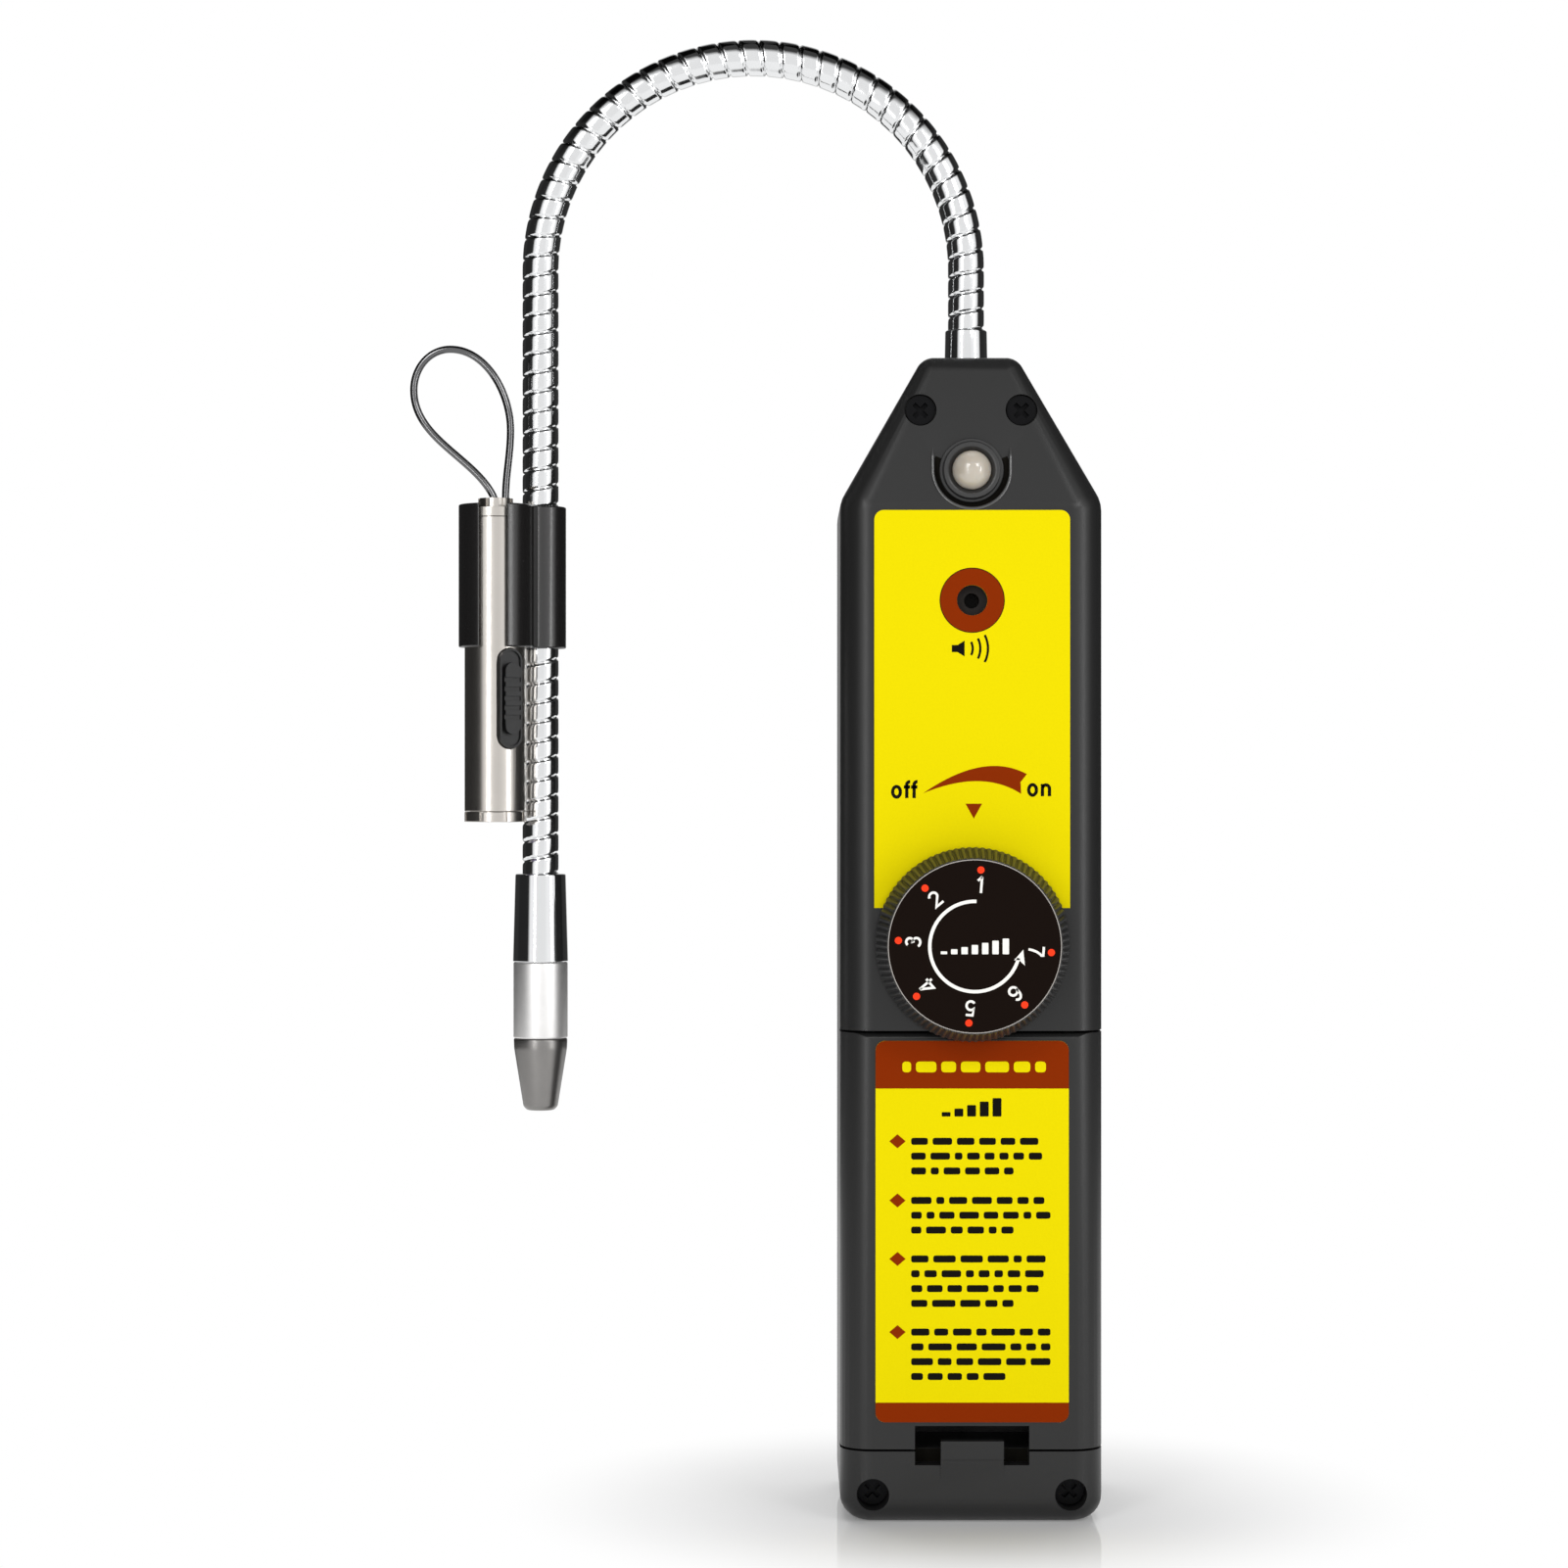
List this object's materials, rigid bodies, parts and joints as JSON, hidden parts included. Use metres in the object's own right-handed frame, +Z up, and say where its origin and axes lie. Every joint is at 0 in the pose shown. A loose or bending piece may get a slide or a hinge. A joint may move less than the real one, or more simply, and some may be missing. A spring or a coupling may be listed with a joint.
{
  "type": "refrigerant leak detector",
  "caption": "Upright hand-held gas leak detector: tapered moulded case with dial and battery door, flexible banded neck with sensor tip, and a clip-on ultraviolet torch.",
  "frame": {"origin": "centre of the case's flat base", "axes": "+Z up along the case, front with dial and labels towards -Y, neck arches towards -X"},
  "size_m": [0.1106, 0.0503, 0.2376],
  "materials": {
    "case_plastic": "fine moulded texture",
    "knob_plastic": "moulded, ridged edge",
    "dial_print": "printed film",
    "label_film": "printed film",
    "screw_black": "black oxide",
    "milky_lens": "translucent",
    "neck_chrome": "polished bands",
    "tip_chrome": "polished",
    "tip_satin": "satin",
    "nose_satin": "satin, darker",
    "torch_metal": "polished",
    "wire_steel": "drawn wire",
    "clip_plastic": "glossy",
    "switch_plastic": "moulded",
    "lens_glass": "clear",
    "lamp_resin": "clear resin",
    "board": "solder resist",
    "sounder_plastic": "moulded",
    "pot_can": "pressed",
    "contact_steel": "nickel plated",
    "cell_jacket": "plain sleeve",
    "sensor_brass": "capsule"
  },
  "bodies": {
    "case": {"rear_case": "case_plastic", "front_case": "case_plastic", "front_label": "label_film", "case_screws": "screw_black", "pot_body": "pot_can", "pot_nut": "contact_steel", "circuit_board": "board", "board_screws": "contact_steel", "buzzer": "sounder_plastic", "lamp_bezel": "knob_plastic", "lamp_lens": "milky_lens", "battery_cells": "cell_jacket", "battery_contacts": "contact_steel", "battery_springs": "contact_steel", "neck_ferrule": "neck_chrome", "neck_root": "neck_chrome"},
    "door": {"battery_door": "case_plastic", "door_label": "label_film"},
    "dial": {"knob": "knob_plastic", "dial_plate": "dial_print", "pot_shaft": "pot_can"},
    "neck_rising": {"neck_rising_link": "neck_chrome"},
    "neck_top": {"neck_top_link": "neck_chrome"},
    "neck_falling": {"neck_falling_link": "neck_chrome"},
    "probe": {"neck_leg_link": "neck_chrome", "probe_collar": "tip_chrome", "sensor_sleeve": "tip_satin", "sensor_element": "sensor_brass", "nose_cap": "nose_satin", "inlet_filter": "sensor_brass"},
    "torch": {"torch_clip": "clip_plastic", "torch_barrel": "torch_metal", "torch_tail_cap": "torch_metal", "torch_head_ring": "torch_metal", "torch_lens": "lens_glass", "torch_lamp": "lamp_resin", "torch_cells": "pot_can", "torch_switch_plate": "switch_plastic", "torch_wire_loop": "wire_steel"},
    "switch": {"torch_slider": "switch_plastic"}
  },
  "joints": [
    {"name": "dial_turn", "type": "hinge", "parent": "case", "child": "dial", "pos_m": [0, -0.022, 0.0913], "axis": [0, 1, 0], "range_deg": [-34, 266]},
    {"name": "door_swing", "type": "hinge", "parent": "case", "child": "door", "pos_m": [0, -0.01955, 0.0761], "axis": [1, 0, 0], "range_deg": [-40, 0]},
    {"name": "neck_lower_bend", "type": "hinge", "parent": "case", "child": "neck_rising", "pos_m": [-0.00626, 0, 0.21985], "axis": [0, 1, 0], "range_deg": [0, 25]},
    {"name": "neck_top_swing", "type": "hinge", "parent": "neck_rising", "child": "neck_top", "pos_m": [-0.0346, 0, 0.2346], "axis": [0, 0, 1], "range_deg": [-25, 25]},
    {"name": "neck_far_bend", "type": "hinge", "parent": "neck_top", "child": "neck_falling", "pos_m": [-0.06294, 0, 0.21985], "axis": [0, 1, 0], "range_deg": [0, 25]},
    {"name": "neck_leg_tilt", "type": "hinge", "parent": "neck_falling", "child": "probe", "pos_m": [-0.0692, 0, 0.185], "axis": [1, 0, 0], "range_deg": [-25, 25]},
    {"name": "torch_slide", "type": "slide", "parent": "probe", "child": "torch", "axis": [0, 0, 1], "range_m": [-0.007, 0.018]},
    {"name": "torch_switch", "type": "slide", "parent": "torch", "child": "switch", "axis": [0, 0, 1], "range_m": [-0.0016, 0.0016]}
  ]
}
